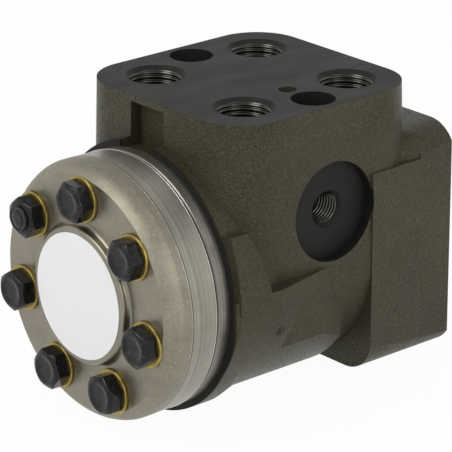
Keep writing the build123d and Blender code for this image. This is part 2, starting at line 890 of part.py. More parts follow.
check_x, check_z = on_circle(screw_circle_r, [check_screw_angle])[0]
with BuildPart() as thread_bushing:
    with BuildSketch(gear_face):
        with Locations((check_x, check_z)):
            Circle(bushing_r)
            Circle(screw_thread_r + screw_thread_gap, mode=Mode.SUBTRACT)
    extrude(amount=-bushing_length)
save(thread_bushing.part, "thread_bushing")


def seated(hole_end_y, ball_r, seat_r):
    """Ball centre that rests on the edge of a seat hole, just clear of it."""
    return hole_end_y - (ball_r**2 - seat_r**2) ** 0.5 - end_gap


check_hole_end_y = gear_face_y + bushing_length + 2 * check_ball_r + check_travel
save(ball(check_ball_r, check_x, seated(check_hole_end_y, check_ball_r, check_seat_r), check_z),
     "check_ball")

suction_points = on_circle(screw_circle_r, suction_angles)
suction_hole_end_y = gear_face_y + suction_depth
suction_ball_y = seated(suction_hole_end_y, suction_ball_r, suction_seat_r)
for side_name, (x, z) in zip(("right", "left"), suction_points):
    save(ball(suction_ball_r, x, suction_ball_y, z), f"suction_ball_{side_name}")
suction_pin_length = -(gear_face_y - suction_ball_y) - suction_ball_r - suction_travel - end_gap
with BuildPart() as suction_pins:
    with BuildSketch(gear_face):
        with Locations(*suction_points):
            Circle(suction_pin_r)
    extrude(amount=-suction_pin_length)
save(suction_pins.part, "suction_pins")


# ---------------------------------------------------------------- shock valves
shock_floor_z = port_face_z - shock_well_depth
shock_ball_z = shock_floor_z + shock_seat_height + (
    shock_ball_r**2 - shock_seat_hole_r**2) ** 0.5 + shock_ball_gap
shock_contact_r = shock_ball_r + shock_wire_r + shock_ball_gap
shock_spring_z = shock_ball_z + (shock_contact_r**2 - shock_spring_r**2) ** 0.5
shock_plug_z = port_face_z - shock_plug_inset - shock_plug_height
sides = (-shock_bore_x, shock_bore_x)

with BuildPart() as shock_seats:
    with BuildSketch(Plane.XY.offset(shock_floor_z)):
        with Locations(*((x, port_centre_y) for x in sides)):
            Circle(shock_well_r)
            Circle(shock_seat_hole_r, mode=Mode.SUBTRACT)
    extrude(amount=shock_seat_height)
save(shock_seats.part, "shock_seats")

for side_name, x in zip(("left", "right"), sides):
    save(ball(shock_ball_r, x, port_centre_y, shock_ball_z), f"shock_ball_{side_name}")

with BuildPart() as shock_springs:
    for x in sides:
        spring_height = shock_plug_z - shock_spring_z - shock_wire_r - shock_ball_gap
        with BuildLine() as coil:
            Helix(
                pitch=spring_height / shock_spring_turns,
                height=spring_height,
                radius=shock_spring_r,
                center=(x, port_centre_y, shock_spring_z),
            )
        with BuildSketch(Plane(origin=coil.line @ 0, z_dir=coil.line % 0)):
            RegularPolygon(shock_wire_r, shock_wire_facets)
        sweep(path=coil.line, is_frenet=True)
save(shock_springs.part, "shock_springs")

with BuildPart() as shock_plugs:
    with BuildSketch(Plane.XY.offset(shock_plug_z)):
        with Locations(*((x, port_centre_y) for x in sides)):
            Circle(shock_bore_r)
    extrude(amount=shock_plug_height)
    with BuildSketch(Plane.XY.offset(shock_plug_z + shock_plug_height)):
        with Locations(*((x, port_centre_y) for x in sides)):
            RegularPolygon(shock_plug_key / 2, 6, major_radius=False)
    extrude(amount=-shock_plug_key_depth, mode=Mode.SUBTRACT)
save(shock_plugs.part, "shock_plugs")
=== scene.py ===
"""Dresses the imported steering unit: screws, washers, threads, seams, finishes and studio.

Lengths are metres, apart from the lens. The Y axis is the spool axis, the cover looks along -Y
and the ports look up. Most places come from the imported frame's mounts and node boxes.
"""
import json
from math import atan2, cos, hypot, pi, radians, sin, tan

import bpy
import numpy as np
from mathutils import Matrix, Vector


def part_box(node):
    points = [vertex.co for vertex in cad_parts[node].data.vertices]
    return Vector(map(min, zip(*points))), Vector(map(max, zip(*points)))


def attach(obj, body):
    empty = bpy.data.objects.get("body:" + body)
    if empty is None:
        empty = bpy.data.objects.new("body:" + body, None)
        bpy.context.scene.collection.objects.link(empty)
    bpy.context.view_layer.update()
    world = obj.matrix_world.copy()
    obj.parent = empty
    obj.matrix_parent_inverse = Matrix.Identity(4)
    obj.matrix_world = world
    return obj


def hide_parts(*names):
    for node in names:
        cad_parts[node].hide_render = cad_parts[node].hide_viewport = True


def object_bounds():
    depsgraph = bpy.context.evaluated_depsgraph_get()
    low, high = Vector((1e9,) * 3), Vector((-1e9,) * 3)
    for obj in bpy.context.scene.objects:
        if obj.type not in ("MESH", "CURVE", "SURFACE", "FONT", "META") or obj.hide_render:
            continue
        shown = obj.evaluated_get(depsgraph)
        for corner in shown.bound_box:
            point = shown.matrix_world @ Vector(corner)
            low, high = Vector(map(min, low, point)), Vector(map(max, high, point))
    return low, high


bl_info = {
    "name": "Steering unit dresser",
    "version": (1, 0, 0),
    "blender": (4, 5, 0),
    "location": "3D View > Sidebar > Steering Unit",
    "description": "Builds the visible pieces, finishes and studio of a hydraulic steering unit",
    "category": "Object",
}

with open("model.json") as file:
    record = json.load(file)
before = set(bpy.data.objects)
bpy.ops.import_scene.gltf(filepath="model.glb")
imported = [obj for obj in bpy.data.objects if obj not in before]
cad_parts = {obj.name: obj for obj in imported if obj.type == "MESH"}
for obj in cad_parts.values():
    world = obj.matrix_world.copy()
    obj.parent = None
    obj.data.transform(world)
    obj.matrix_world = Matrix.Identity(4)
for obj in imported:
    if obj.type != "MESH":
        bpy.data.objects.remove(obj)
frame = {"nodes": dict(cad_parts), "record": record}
cad_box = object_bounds()
mounts = {m["name"]: m for m in frame["record"]["mounts"]}
nodes = frame["nodes"]

MM = 0.001


def mount_point(name):
    """Position of a mount in metres."""
    return np.array(mounts[name]["pos_m"])


def mount_size(name, key):
    """A dimension of a mount in metres."""
    return mounts[name]["dims"][key] * MM


def node_middle(name):
    """Middle of a node's box."""
    low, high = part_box(name)
    return np.array((low + high) / 2)


port_names = ("port_gear_left", "port_gear_right", "port_column_left", "port_column_right")
port_top_z = mount_point("port_face")[2]
port_centre = sum(mount_point(n) for n in port_names) / len(port_names)
port_half_pitch = abs(mount_point("port_gear_left")[0])
side_port = mount_point("load_sensing_port")
gear_face_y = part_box("housing")[0][1]
washer_face_y, washer_seat_y = (corner[1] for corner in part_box("cover_washers"))
check_centre = node_middle("check_screw")
check_tip_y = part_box("check_screw")[1][1]
valve_bore_x = node_middle("shock_ball_right")[0]
screw_count = 7


# ---------------------------------------------------------------- meshes
def new_piece(name, rings, body, material, closed_rows=False, caps=(False, False)):
    """Piece from stacks of rings: rings has the shape (copies, rows, columns, 3).

    Each ring joins the next one with quads, and each ring's last point joins its first. With
    closed_rows the last ring joins the first. A cap fills the first or last ring with a fan
    about the ring's mean point.
    """
    copies, rows, columns, _ = rings.shape
    points = rings.reshape(-1, 3)
    index = np.arange(rows * columns).reshape(rows, columns)
    lower = index if closed_rows else index[:-1]
    upper = np.roll(index, -1, axis=0) if closed_rows else index[1:]
    quads = np.stack(
        (lower, np.roll(lower, -1, axis=1), np.roll(upper, -1, axis=1), upper), axis=-1
    ).reshape(-1, 4)
    base = (np.arange(copies) * rows * columns)[:, None, None]
    quads = (quads[None] + base).reshape(-1, 4)
    fans = []
    for end, wanted in zip((0, -1), caps):
        if not wanted:
            continue
        middles = rings[:, end].mean(axis=1)
        first = len(points)
        points = np.concatenate((points, middles))
        ring = index[end]
        ahead = np.roll(ring, -1)
        pair = (ring, ahead) if end == -1 else (ahead, ring)
        fan = np.stack((pair[0], pair[1], np.zeros_like(ring)), axis=-1)
        for_all = fan[None] + base
        for_all[:, :, 2] = (first + np.arange(copies))[:, None]
        fans.append(for_all.reshape(-1, 3))
    triangles = np.concatenate(fans) if fans else np.zeros((0, 3), int)
    corners = np.concatenate((quads.ravel(), triangles.ravel()))
    sides = np.concatenate((np.full(len(quads), 4), np.full(len(triangles), 3)))
    mesh = bpy.data.meshes.new(name)
    mesh.vertices.add(len(points))
    mesh.vertices.foreach_set("co", points.astype(np.float32).ravel())
    mesh.loops.add(len(corners))
    mesh.loops.foreach_set("vertex_index", corners.astype(np.int32))
    mesh.polygons.add(len(sides))
    starts = np.concatenate(((0,), np.cumsum(sides)[:-1]))
    mesh.polygons.foreach_set("loop_start", starts.astype(np.int32))
    mesh.polygons.foreach_set("loop_total", sides.astype(np.int32))
    mesh.update(calc_edges=True)
    mesh.validate()
    mesh.polygons.foreach_set("use_smooth", np.ones(len(mesh.polygons), bool))
    mesh.materials.append(material)
    piece = bpy.data.objects.new(name, mesh)
    bpy.context.scene.collection.objects.link(piece)
    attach(piece, body)
    return piece


def smooth_least(a, b, width):
    """Smaller of a and b, with the corner between them rounded over the given width."""
    gap = np.maximum(width - np.abs(a - b), 0) / width
    return np.minimum(a, b) - gap * gap * width / 4


def along_cover(radius, angle, height, y_start):
    """Points at a radius and angle about the spool axis, height metres outside y_start."""
    return np.stack((radius * np.cos(angle), y_start - height, radius * np.sin(angle)), axis=-1)


def screw_places():
    """Middles (x, z) of the cover's screws, evenly round their circle from the check screw."""
    circle_r = hypot(check_centre[0], check_centre[2])
    first = atan2(check_centre[2], check_centre[0])
    angles = first + np.arange(screw_count) * 2 * pi / screw_count
    return np.stack((np.cos(angles), np.sin(angles)), axis=-1) * circle_r


def once_round(count):
    """Evenly spaced angles over one turn, without its end."""
    return np.linspace(0.0, 2 * pi, count, endpoint=False)


def sharpen_by_angle(piece, degrees_limit):
    """Mark edges steeper than the limit as sharp, so that flat faces keep crisp borders."""
    piece.data.set_sharp_from_angle(angle=radians(degrees_limit))


# ---------------------------------------------------------------- materials
class Finish:
    """A new material with short calls for its nodes. Patterns read Object coordinates."""

    def __init__(self, name):
        self.material = bpy.data.materials.new(name)
        self.material.use_nodes = True
        self.tree = self.material.node_tree
        self.shader = self.tree.nodes["Principled BSDF"]
        self.place = self.node("ShaderNodeTexCoord").outputs["Object"]
        split = self.node("ShaderNodeSeparateXYZ", Vector=self.place)
        self.x, self.y, self.z = split.outputs

    def node(self, kind, settings=None, **inputs):
        """Add a node, set its properties and connect or fill its named inputs."""
        made = self.tree.nodes.new(kind)
        for key, value in (settings or {}).items():
            setattr(made, key, value)
        for key, value in inputs.items():
            self.feed(made.inputs[key.replace("_", " ")], value)
        return made

    def feed(self, socket, value):
        """Link an output to a socket, or write a value into it."""
        if isinstance(value, bpy.types.NodeSocket):
            self.tree.links.new(value, socket)
        else:
            socket.default_value = value

    def calc(self, operation, *values):
        """Result of a Math node."""
        made = self.tree.nodes.new("ShaderNodeMath")
        made.operation = operation
        for socket, value in zip(made.inputs, values):
            self.feed(socket, value)
        return made.outputs[0]

    def noise(self, size, detail=3.0, roughness=0.55, place=None):
        """Noise from 0 to 1 whose blobs are about size metres across."""
        made = self.node("ShaderNodeTexNoise", Vector=place or self.place, Scale=1 / size,
                         Detail=detail, Roughness=roughness)
        return made.outputs["Fac"]

    def grains(self, size, place=None):
        """Distance to the nearest grain centre, grains about size metres across."""
        made = self.node("ShaderNodeTexVoronoi", Vector=place or self.place, Scale=1 / size)
        return made.outputs["Distance"]

    def spread(self, value, low, high, to_low=0.0, to_high=1.0):
        """Value from low to high carried over to another range, and held there outside it."""
        made = self.node("ShaderNodeMapRange", Value=value)
        for key, amount in zip(("From Min", "From Max", "To Min", "To Max"),
                               (low, high, to_low, to_high)):
            self.feed(made.inputs[key], amount)
        return made.outputs["Result"]

    def blend(self, share, first, second):
        """Colour mixed from first to second by share."""
        made = self.tree.nodes.new("ShaderNodeMix")
        made.data_type = "RGBA"
        for key, value in ((0, share), (6, first), (7, second)):
            self.feed(made.inputs[key], value)
        return made.outputs[2]

    def mix(self, share, first, second):
        """Value mixed from first to second by share."""
        made = self.node("ShaderNodeMix", {"data_type": "FLOAT"})
        for key, value in ((0, share), (2, first), (3, second)):
            self.feed(made.inputs[key], value)
        return made.outputs[0]

    def stretched(self, scale):
        """Object coordinates times scale, so that marks run long where scale is small."""
        made = self.node("ShaderNodeMapping", Vector=self.place, Scale=scale)
        return made.outputs["Vector"]

    def radius(self, across, along, centre=(0.0, 0.0)):
        """Distance from an axis, from two coordinates and the axis's place in them."""
        side = self.calc("SUBTRACT", across, centre[0])
        up = self.calc("SUBTRACT", along, centre[1])
        squares = self.calc("ADD", self.calc("MULTIPLY", side, side), self.calc("MULTIPLY", up, up))
        return self.calc("SQRT", squares)

    def rough_bump(self, height, depth, strength=1.0, under=None):
        """Normal from a height pattern whose full range is depth metres."""
        made = self.node("ShaderNodeBump", Height=height, Distance=depth, Strength=strength)
        if under is not None:
            self.feed(made.inputs["Normal"], under)
        return made.outputs["Normal"]

    def surface(self, **inputs):
        """Fill the shader's inputs, colours given as three or four values."""
        for key, value in inputs.items():
            socket = self.shader.inputs[key.replace("_", " ")]
            if isinstance(value, tuple) and len(value) == 3:
                value = (*value, 1.0)
            self.feed(socket, value)
        return self.material


def tinted(colour, factor):
    """A colour made lighter or darker by a factor."""
    return (*(min(1.0, c * factor) for c in colour[:3]), 1.0)


def machined_share(f, look):
    """One where the casting is machined, and zero on the cast skin.

    Machined are the port face, the ports and valve bores, the side port's spotface, both end
    faces and the spool bore.
    """
    hair = 0.05 * MM
    from_middle = f.calc("ABSOLUTE", f.x)
    from_ports = f.calc("ABSOLUTE", f.calc("SUBTRACT", f.y, port_centre[1]))
    port_r = f.radius(from_middle, from_ports, (port_half_pitch, port_half_pitch))
    valve_r = f.radius(from_middle, from_ports, (valve_bore_x, 0.0))
    side_r = f.radius(f.y, f.z, (side_port[1], side_port[2]))
    upper = f.calc("GREATER_THAN", f.z, port_top_z / 2)
    outer = f.calc("GREATER_THAN", f.x, side_port[0] / 2)
    shares = (
        f.calc("GREATER_THAN", f.z, port_top_z - hair),
        f.calc("MULTIPLY", f.calc("LESS_THAN", port_r, look.port_mouth_radius), upper),
        f.calc("MULTIPLY", f.calc("LESS_THAN", valve_r, look.valve_bore_radius), upper),
        f.calc("MULTIPLY", f.calc("LESS_THAN", side_r, look.spotface_radius), outer),
        f.calc("LESS_THAN", f.y, gear_face_y + look.machined_band),
        f.calc("GREATER_THAN", f.y, -hair),
        f.calc("LESS_THAN", f.radius(f.x, f.z), look.spool_bore_radius),
    )
    machined = shares[0]
    for share in shares[1:]:
        machined = f.calc("MAXIMUM", machined, share)
    return machined


def cast_iron_finish(look):
    """Phosphated casting with a sand grain whose sparkle is painted as pale specks in the colour,
    and smooth dark faces where machined.
    """
    f = Finish("cast_skin")
    machined = machined_share(f, look)

    # the cast skin: dark and pale grains, larger clouds, and on top pale specks that are painted
    # glints standing in for the grain's sparkle
    grain = f.noise(look.grain_size, 4.0, 0.65)
    pits = f.grains(look.grain_size * 0.8)
    clouds = f.noise(look.grain_size * 40, 2.0)
    painted_glints = f.noise(look.grain_size * 0.38, 2.0, 0.5)
    mottle = f.calc("ADD", grain, f.calc("MULTIPLY", clouds, 0.35))
    cast_colour = f.blend(f.spread(mottle, 0.42, 0.95),
                          tinted(look.cast_colour, 0.62), tinted(look.cast_colour, 2.0))
    # painted highlight: pale specks at seven times the cast colour stand in for glints off the sand
    # grain
    cast_colour = f.blend(f.spread(painted_glints, 0.57, 0.74, 0.0, 0.8),
                          cast_colour, tinted(look.cast_colour, 7.0))
    cast_rough = f.spread(grain, 0.35, 0.7, 0.52, 0.24)
    cast_height = f.calc("ADD", f.calc("MULTIPLY", grain, 0.7), f.calc("MULTIPLY", pits, 0.5))

    # the machined faces: smears and fine tool marks that run along the spool axis
    smears = f.noise(look.grain_size * 12, 3.0, place=f.stretched((1.0, 0.25, 1.0)))
    tool_marks = f.noise(look.grain_size * 0.4, 2.0, place=f.stretched((1.0, 0.06, 1.0)))
    machined_colour = f.blend(smears, tinted(look.machined_colour, 0.8),
                              tinted(look.machined_colour, 1.3))
    machined_rough = f.spread(smears, 0.3, 0.7, 0.5, 0.62)
    machined_height = f.calc("MULTIPLY", tool_marks, 0.03)

    return f.surface(
        Base_Color=f.blend(machined, cast_colour, machined_colour),
        Metallic=0.25,
        Specular_IOR_Level=0.22,
        Roughness=f.mix(machined, cast_rough, machined_rough),
        Normal=f.rough_bump(f.mix(machined, cast_height, machined_height), look.grain_depth),
    )


def turned_steel_finish(name, look, colour, turned_face=True):
    """Bare steel with lathe marks that follow the radius on faces and the length on rims.

    A turned face has a matt, speckled border outside rim_start. Other discs have dark bands.
    """
    border_width = 0.3 * MM
    f = Finish(name)
    out = f.radius(f.x, f.z)
    along = f.calc("MULTIPLY", f.y, 0.4) if turned_face else f.y
    lathe_place = f.node("ShaderNodeCombineXYZ", X=out, Y=along, Z=0.0).outputs[0]
    rings = f.noise(look.mark_width, 4.0, 0.7, place=lathe_place)
    clouds = f.noise(9 * MM, 3.0, 0.6)
    stains = f.noise(2.2 * MM, 4.0, 0.7)
    scratches = f.noise(0.9 * MM, 5.0, 0.8, place=f.stretched((1.0, 0.35, 1.6)))
    mottle = f.calc("ADD", f.calc("MULTIPLY", clouds, 0.6), f.calc("MULTIPLY", stains, 0.4))
    steel = f.blend(f.spread(mottle, 0.3, 0.7), tinted(colour, 0.78), tinted(colour, 1.12))
    steel = f.blend(f.spread(scratches, 0.62, 0.8, 0.0, 0.35), steel, tinted(colour, 1.45))
    wear = f.calc("ADD", f.calc("MULTIPLY", stains, 0.5), f.calc("MULTIPLY", rings, 0.5))
    rough = f.spread(wear, 0.3, 0.7, look.roughness * 0.82, look.roughness * 1.25)
    marks = f.calc("ADD", f.calc("MULTIPLY", rings, 0.8), f.calc("MULTIPLY", scratches, 0.4))
    if turned_face:
        border = f.spread(out, look.rim_start, look.rim_start + border_width)
        specks = f.noise(0.5 * MM, 4.0, 0.75, place=f.stretched((1.0, 0.6, 1.0)))
        share = f.calc("MULTIPLY", border, f.spread(specks, 0.54, 0.70, 0.0, 0.55))
        steel = f.blend(share, steel, tinted(colour, 2.2))
        rough = f.calc("ADD", rough, f.calc("MULTIPLY", border, 0.16))
        pecks = f.calc("MULTIPLY", f.calc("MULTIPLY", specks, border), 3.5)
        marks = f.calc("ADD", marks, pecks)
    else:
        bands = f.noise(1.3 * MM, 3.0, 0.6, place=lathe_place)
        steel = f.blend(f.spread(bands, 0.35, 0.65), tinted(colour, 0.6), steel)
    return f.surface(
        Base_Color=steel,
        Metallic=0.92,
        Roughness=rough,
        Normal=f.rough_bump(marks, look.mark_depth),
    )


def black_oxide_finish(name, colour, wear_colour):
    """Oiled black oxide, with paler rubbed patches."""
    f = Finish(name)
    rubbed = f.noise(0.8 * MM, 5.0, 0.75)
    clouds = f.noise(4 * MM, 2.0)
    wear = f.calc("ADD", f.calc("MULTIPLY", rubbed, 0.7), f.calc("MULTIPLY", clouds, 0.3))
    return f.surface(
        Base_Color=f.blend(f.spread(wear, 0.52, 0.72, 0.0, 0.5), (*colour, 1.0),
                           (*wear_colour, 1.0)),
        Metallic=0.75,
        Roughness=f.spread(rubbed, 0.3, 0.7, 0.16, 0.30),
        Normal=f.rough_bump(rubbed, 0.02 * MM),
    )


def zinc_finish(colour):
    """Yellow passivated zinc, with a drifting tint."""
    f = Finish("yellow_zinc")
    drift = f.noise(3 * MM, 2.0)
    return f.surface(
        Base_Color=f.blend(drift, tinted(colour, 0.7), tinted(colour, 1.2)),
        Metallic=0.85,
        Roughness=f.spread(f.noise(0.5 * MM, 3.0), 0.3, 0.7, 0.22, 0.4),
        Normal=f.rough_bump(f.noise(0.3 * MM, 3.0), 0.01 * MM),
    )


def ground_steel_finish(name, colour, roughness):
    """Ground or polished steel with very fine marks."""
    f = Finish(name)
    fine = f.noise(0.25 * MM, 3.0, place=f.stretched((1.0, 4.0, 1.0)))
    return f.surface(
        Base_Color=f.blend(f.noise(6 * MM, 2.0), tinted(colour, 0.88), tinted(colour, 1.08)),
        Metallic=1.0,
        Roughness=f.spread(fine, 0.3, 0.7, roughness * 0.8, roughness * 1.25),
        Normal=f.rough_bump(fine, 0.004 * MM),
    )


def rubber_finish(name="seal_rubber", colour=(0.02, 0.02, 0.021)):
    """Matt nitrile rubber with a faint mould texture."""
    f = Finish(name)
    skin = f.noise(0.4 * MM, 3.0)
    return f.surface(
        Base_Color=f.blend(skin, tinted(colour, 0.6), tinted(colour, 1.5)),
        Roughness=f.spread(skin, 0.3, 0.7, 0.5, 0.68),
        Normal=f.rough_bump(skin, 0.02 * MM),
    )


def label_finish(colour):
    """Plain printed film: white, slightly glossy, with a faint orange peel."""
    f = Finish("label_film")
    peel = f.noise(1.2 * MM, 2.0)
    return f.surface(
        Base_Color=f.blend(f.noise(14 * MM, 2.0), tinted(colour, 0.97), tinted(colour, 1.0)),
        Roughness=f.spread(peel, 0.3, 0.7, 0.38, 0.5),
        Normal=f.rough_bump(peel, 0.006 * MM),
    )


def dress_node(name, material):
    """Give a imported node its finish."""
    nodes[name].data.materials.clear()
    nodes[name].data.materials.append(material)


# ---------------------------------------------------------------- settings
def length_property(name, description, value, low=0.0, high=1.0):
    """A length in metres."""
    return bpy.props.FloatProperty(name=name, description=description, default=value, min=low,
                                   max=high, precision=5, unit="LENGTH", subtype="DISTANCE")


def colour_property(name, description, value):
    """A linear colour."""
    return bpy.props.FloatVectorProperty(name=name, description=description, default=value,
                                         size=3, min=0.0, max=1.0, subtype="COLOR")


class STEERING_PG_housing(bpy.types.PropertyGroup):
    """Look of the cast housing."""

    cast_colour: colour_property("Cast colour", "Phosphated cast skin", (0.034, 0.0318, 0.0175))
    machined_colour: colour_property("Machined colour", "Machined dark faces",
                                     (0.015, 0.0140, 0.0122))
    grain_size: length_property("Grain size", "Size of the sand grain", 0.72 * MM)
    grain_depth: length_property("Grain depth", "Height of the sand grain", 0.42 * MM)
    port_mouth_radius: length_property("Port mouth radius", "Outside of the port chamfers",
                                       10.8 * MM)
    valve_bore_radius: length_property("Valve bore radius", "Bores beside the ports", 7.75 * MM)
    spotface_radius: length_property("Spotface radius", "Flat round the side port", 17.65 * MM)
    spool_bore_radius: length_property("Spool bore radius", "Bore with its grooves", 22.6 * MM)
    web_half_width: length_property("Web half width", "Side of the flange webs", 42.5 * MM)
    web_top: length_property("Web top", "Top of the flange webs", 41.9 * MM, -1.0)
    web_corner: length_property("Web corner", "Corner radius of the flange webs", 8.0 * MM)
    web_front: length_property("Web front", "Where the webs leave the flange", -13.0 * MM, -1.0)
    web_length: length_property("Web length", "How far back the webs run", 15.0 * MM)
    web_draw: length_property("Web draw", "How much the webs' backs draw in", 2.4 * MM)
    machined_band: length_property("Machined band", "Turned width at the gear end", 0.6 * MM)


class STEERING_PG_threads(bpy.types.PropertyGroup):
    """Screw threads of the ports and tapped holes."""

    main_pitch: length_property("Main pitch", "Pitch of the four large ports", 1.814 * MM)
    side_pitch: length_property("Side pitch", "Pitch of the side port", 1.337 * MM)
    flange_pitch: length_property("Flange pitch", "Pitch of the column screw holes", 1.5 * MM)
    depth_share: bpy.props.FloatProperty(
        name="Depth", description="Ridge height as a share of the pitch", default=0.36,
        min=0.1, max=0.6)
    steps_per_turn: bpy.props.IntProperty(
        name="Steps per turn", description="Columns round each thread", default=112, min=24)
    steps_per_pitch: bpy.props.IntProperty(
        name="Steps per pitch", description="Rows over each ridge", default=12, min=6)


class STEERING_PG_screws(bpy.types.PropertyGroup):
    """Hexagon screws and washers of the end cover."""

    across_flats: length_property("Across flats", "Width of a head", 13 * MM)
    head_height: length_property("Head height", "Height of a head", 5.3 * MM)
    flat_radius: length_property("Flat radius", "Round flat on top of a head", 5.6 * MM)
    dish_radius: length_property("Dish radius", "Shallow dish in a head", 4.4 * MM)
    dish_depth: length_property("Dish depth", "Depth of the dish", 0.35 * MM)
    corner_round: length_property("Corner round", "Rounding of the corners", 0.35 * MM)
    shank_radius: length_property("Shank radius", "Plain shank", 4 * MM)
    thread_radius: length_property("Thread radius", "Screwed end", 3.5 * MM)
    step_radius: length_property("Step radius", "Raised disc on the check screw", 4.6 * MM)
    step_height: length_property("Step height", "Height of the raised disc", 1.0 * MM)
    chamfer_angle: bpy.props.FloatProperty(
        name="Chamfer angle", description="Slope turned on the corners", default=radians(30),
        min=0.1, max=1.2, subtype="ANGLE")
    oxide_colour: colour_property("Oxide colour", "Black oxide", (0.017, 0.0165, 0.018))
    wear_colour: colour_property("Wear colour", "Rubbed black oxide", (0.16, 0.15, 0.145))
    zinc_colour: colour_property("Zinc colour", "Yellow passivated washer", (0.36, 0.275, 0.075))


class STEERING_PG_steel(bpy.types.PropertyGroup):
    """Look of the bare steel cover, gear ring and plate."""

    cover_colour: colour_property("Cover colour", "Turned end cover", (0.27, 0.25, 0.195))
    ring_colour: colour_property("Ring colour", "Ground gear ring", (0.36, 0.34, 0.29))
    plate_colour: colour_property("Plate colour", "Ground plate", (0.33, 0.315, 0.275))
    label_colour: colour_property("Label colour", "Plain film", (0.86, 0.86, 0.86))
    roughness: bpy.props.FloatProperty(
        name="Roughness", description="Roughness of the bare steel", default=0.36,
        min=0.05, max=1.0)
    mark_width: length_property("Mark width", "Width of a lathe mark", 0.35 * MM)
    mark_depth: length_property("Mark depth", "Depth of a lathe mark", 0.018 * MM)
    rim_start: length_property("Rim start", "Radius where the matt rim begins", 41.6 * MM)
    seam_radius: length_property("Seam radius", "Rim of the discs at the seams", 45.68 * MM)
    # the seam width and colour belong to dark rings of painted shade, which stand in for the shadow
    # in the gaps between the discs
    gap_shade_width: length_property("Gap shade width", "Width of a joint seam", 0.5 * MM)
    gap_shade_colour: colour_property("Gap shade colour", "Shadowed joint between two discs",
                                 (0.006, 0.006, 0.006))


class STEERING_PG_stage(bpy.types.PropertyGroup):
    """Camera, floor and lights."""

    camera_place: bpy.props.FloatVectorProperty(
        name="Camera place", description="Where the camera stands", size=3,
        default=(0.723375, -0.688544, 0.372756), unit="LENGTH", subtype="TRANSLATION")
    camera_side: bpy.props.FloatVectorProperty(
        name="Camera side", description="Direction to the right of the view", size=3,
        default=(0.65154171, 0.75861061, -0.00182917), subtype="DIRECTION")
    camera_back: bpy.props.FloatVectorProperty(
        name="Camera back", description="Direction from the object to the camera", size=3,
        default=(0.70912149, -0.6081772, 0.35674531), subtype="DIRECTION")
    focal_length: bpy.props.FloatProperty(
        name="Focal length", description="Lens, in millimetres on a 36 mm sensor",
        default=232.92, min=20.0, max=400.0)
    floor_size: length_property("Floor size", "Width of the floor", 6.0, 0.5, 20.0)
    floor_colour: colour_property("Floor colour", "Pale floor and backdrop", (0.9, 0.9, 0.9))
    key_power: bpy.props.FloatProperty(
        name="Key power", description="Large lamp over the left shoulder, in watts",
        default=10.0, min=0.0, subtype="POWER", unit="POWER")
    fill_power: bpy.props.FloatProperty(
        name="Fill power", description="Soft lamp from the right, in watts",
        default=5.0, min=0.0, subtype="POWER", unit="POWER")
    top_power: bpy.props.FloatProperty(
        name="Top power", description="Strip lamp above and behind, in watts",
        default=2.2, min=0.0, subtype="POWER", unit="POWER")
    world_strength: bpy.props.FloatProperty(
        name="World strength", description="Brightness of the studio walls", default=0.42,
        min=0.0)


setting_groups = {
    "steering_housing": STEERING_PG_housing,
    "steering_threads": STEERING_PG_threads,
    "steering_screws": STEERING_PG_screws,
    "steering_steel": STEERING_PG_steel,
    "steering_stage": STEERING_PG_stage,
}


# ---------------------------------------------------------------- pieces
class STEERING_OT_housing(bpy.types.Operator):
    """Give the cast housing its grain and its machined faces."""

    bl_idname = "steering.housing"
    bl_label = "Housing finish"

    def execute(self, context):
        dress_node("housing", cast_iron_finish(context.scene.steering_housing))
        return {"FINISHED"}


class STEERING_OT_webs(bpy.types.Operator):
    """Cast webs that carry the flange's upper corners back into the block."""

    bl_idname = "steering.webs"
    bl_label = "Flange webs"

    def execute(self, context):
        look = context.scene.steering_housing
        corner = look.web_corner
        side_depth = 12 * MM
        top_reach = 14 * MM
        splay = 0.05
        top_draw_share = 0.5
        # the section runs up the side, round a quarter circle, in along the top and down again
        t = np.linspace(0.0, pi / 2, 16)
        side_x = np.concatenate(((0.0,), corner * (np.cos(t) - 1), (-top_reach, -top_reach)))
        side_z = np.concatenate(((-side_depth,), corner * (np.sin(t) - 1), (0.0, -side_depth)))
        # on the way back it splays by a straight line and draws in by a smooth step
        way = np.linspace(0.0, 1.0, 24)[:, None]
        drawn = way * way * (3 - 2 * way) * look.web_draw
        x = look.web_half_width + splay * look.web_length * way - drawn + side_x
        y = look.web_front - way * look.web_length + 0 * side_x
        z = look.web_top - top_draw_share * drawn + side_z
        right = np.stack((x, y, z), axis=-1)
        left = (right * (-1, 1, 1))[:, ::-1]
        piece = new_piece("flange_webs", np.stack((right, left)), "housing",
                          bpy.data.materials["cast_skin"], caps=(True, True))
        sharpen_by_angle(piece, 40)
        return {"FINISHED"}


def thread_lining(centres, axis, length, radius, pitch, depth, columns, rows_per_pitch):
    """Rings of internal threads for equal holes, whose centres are their inner ends.

    The radius at angle u and height v is the hole's radius less depth times a rounded wave of
    v / pitch - u / turn, which fades out over the first and last half pitch. The last two rings
    close the lining's back, a little outside the hole's wall.
    """
    wall_gap = 0.01 * MM
    back_reach = 0.25 * MM
    flank_slope = 1.25
    fade_turns = 0.5
    axis = np.array(axis, float)
    side = np.cross(axis, (0.0, 1.0, 0.0) if abs(axis[1]) < 0.9 else (0.0, 0.0, 1.0))
    side /= np.linalg.norm(side)
    up = np.cross(axis, side)
    rows = int(length / pitch * rows_per_pitch) + 1
    v = np.linspace(0.0, length, rows)[:, None]
    u = once_round(columns)[None, :]
    phase = (v / pitch - u / (2 * pi)) % 1.0
    ridge = np.clip(flank_slope * (1 - 2 * np.abs(phase - 0.5)), 0.0, 1.0)
    ridge = ridge * ridge * (3 - 2 * ridge)
    fade = np.clip(np.minimum(v, length - v) / (fade_turns * pitch), 0.0, 1.0)
    inner = radius - wall_gap - depth * ridge * fade
    back = np.full((2, columns), radius + back_reach)
    radii = np.concatenate((inner, back))
    heights = np.concatenate((v, ((length,), (0.0,)))) * np.ones_like(u)
    flat = radii[..., None] * (np.cos(u)[..., None] * side + np.sin(u)[..., None] * up)
    ring = flat + heights[..., None] * axis
    return np.asarray(centres)[:, None, None, :] + ring[None]


